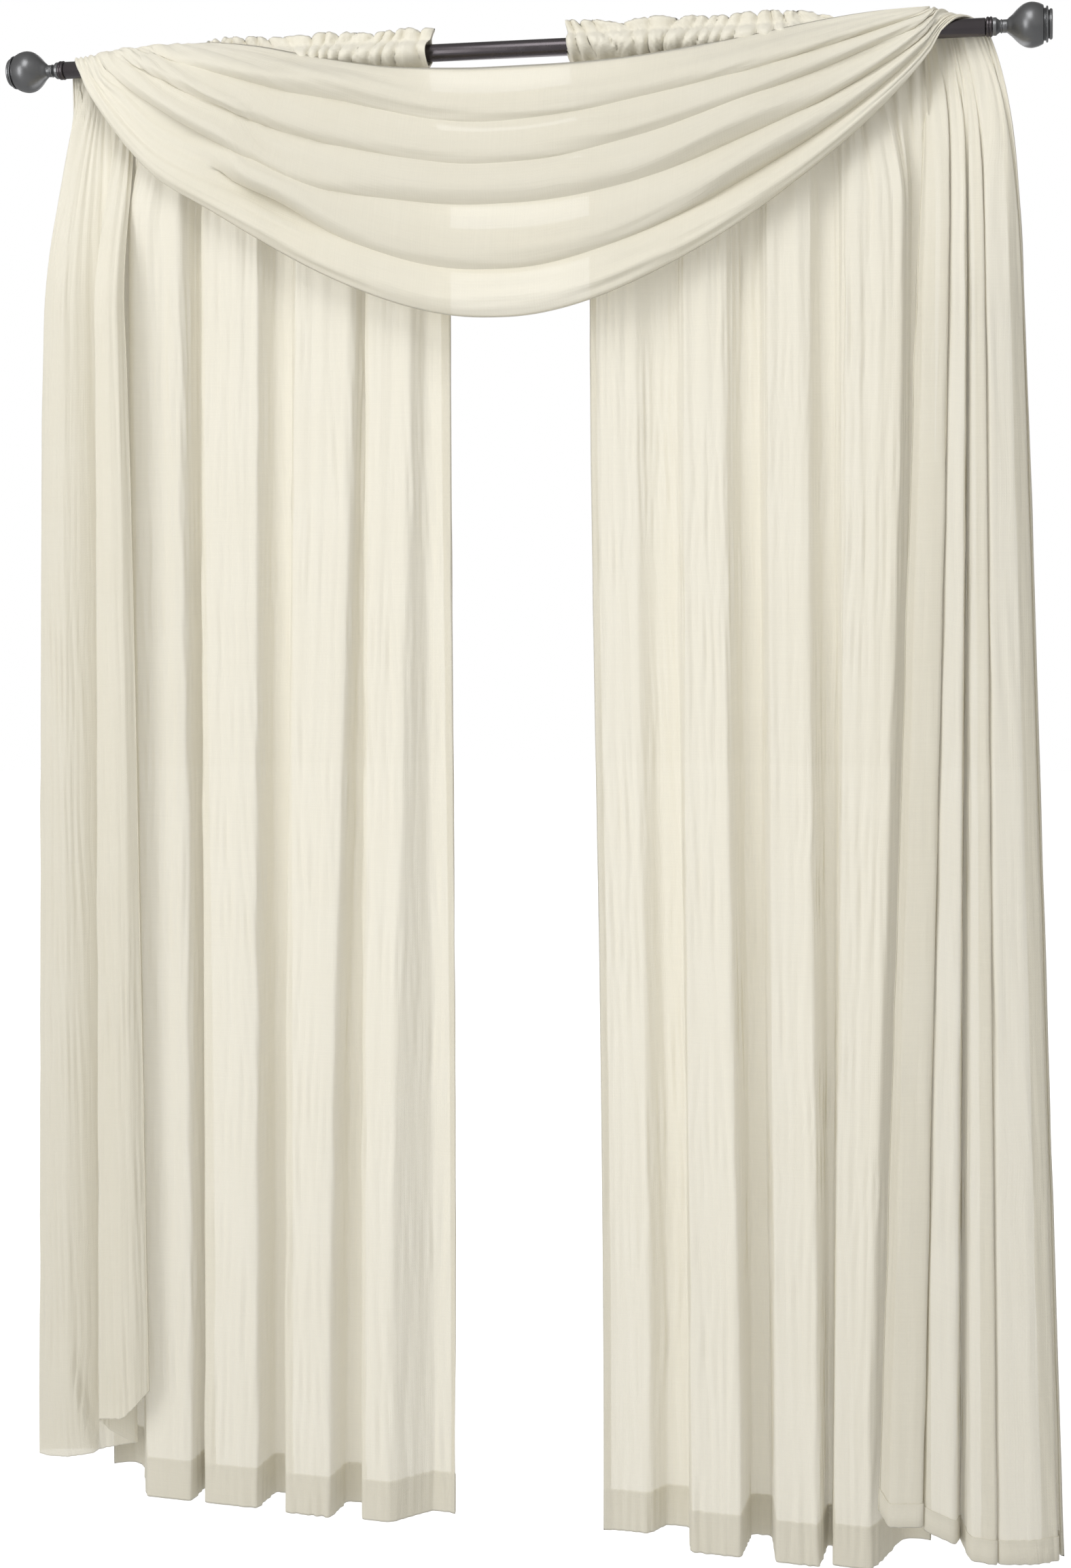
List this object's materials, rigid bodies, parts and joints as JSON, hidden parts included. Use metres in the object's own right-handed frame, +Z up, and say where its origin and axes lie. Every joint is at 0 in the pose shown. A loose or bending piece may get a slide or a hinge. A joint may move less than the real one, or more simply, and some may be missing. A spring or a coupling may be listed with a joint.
{
  "type": "sheer curtain panels and scarf valance on a curtain rod",
  "caption": "Ivory crushed sheer panels gathered by a rod pocket on a dark round rod with ball finials, under a sheer scarf swagged across the front with a floor-length tail at each end.",
  "frame": {"origin": "on the rod's axis, midway between its end collars", "axes": "+X along the rod towards the viewer's right, +Y towards the wall, +Z up"},
  "size_m": [1.5481, 0.1318, 2.1372],
  "materials": {
    "sheer": "crushed ivory voile, slightly see-through, soft sheen",
    "gunmetal": "dark glossy plated tube",
    "pewter": "dark polished pewter"
  },
  "bodies": {
    "root": {"panel_left": "sheer", "panel_right": "sheer", "scarf": "sheer", "rod": "gunmetal", "collar_left": "gunmetal", "collar_right": "gunmetal", "finial_left": "pewter", "finial_right": "pewter"}
  },
  "joints": []
}
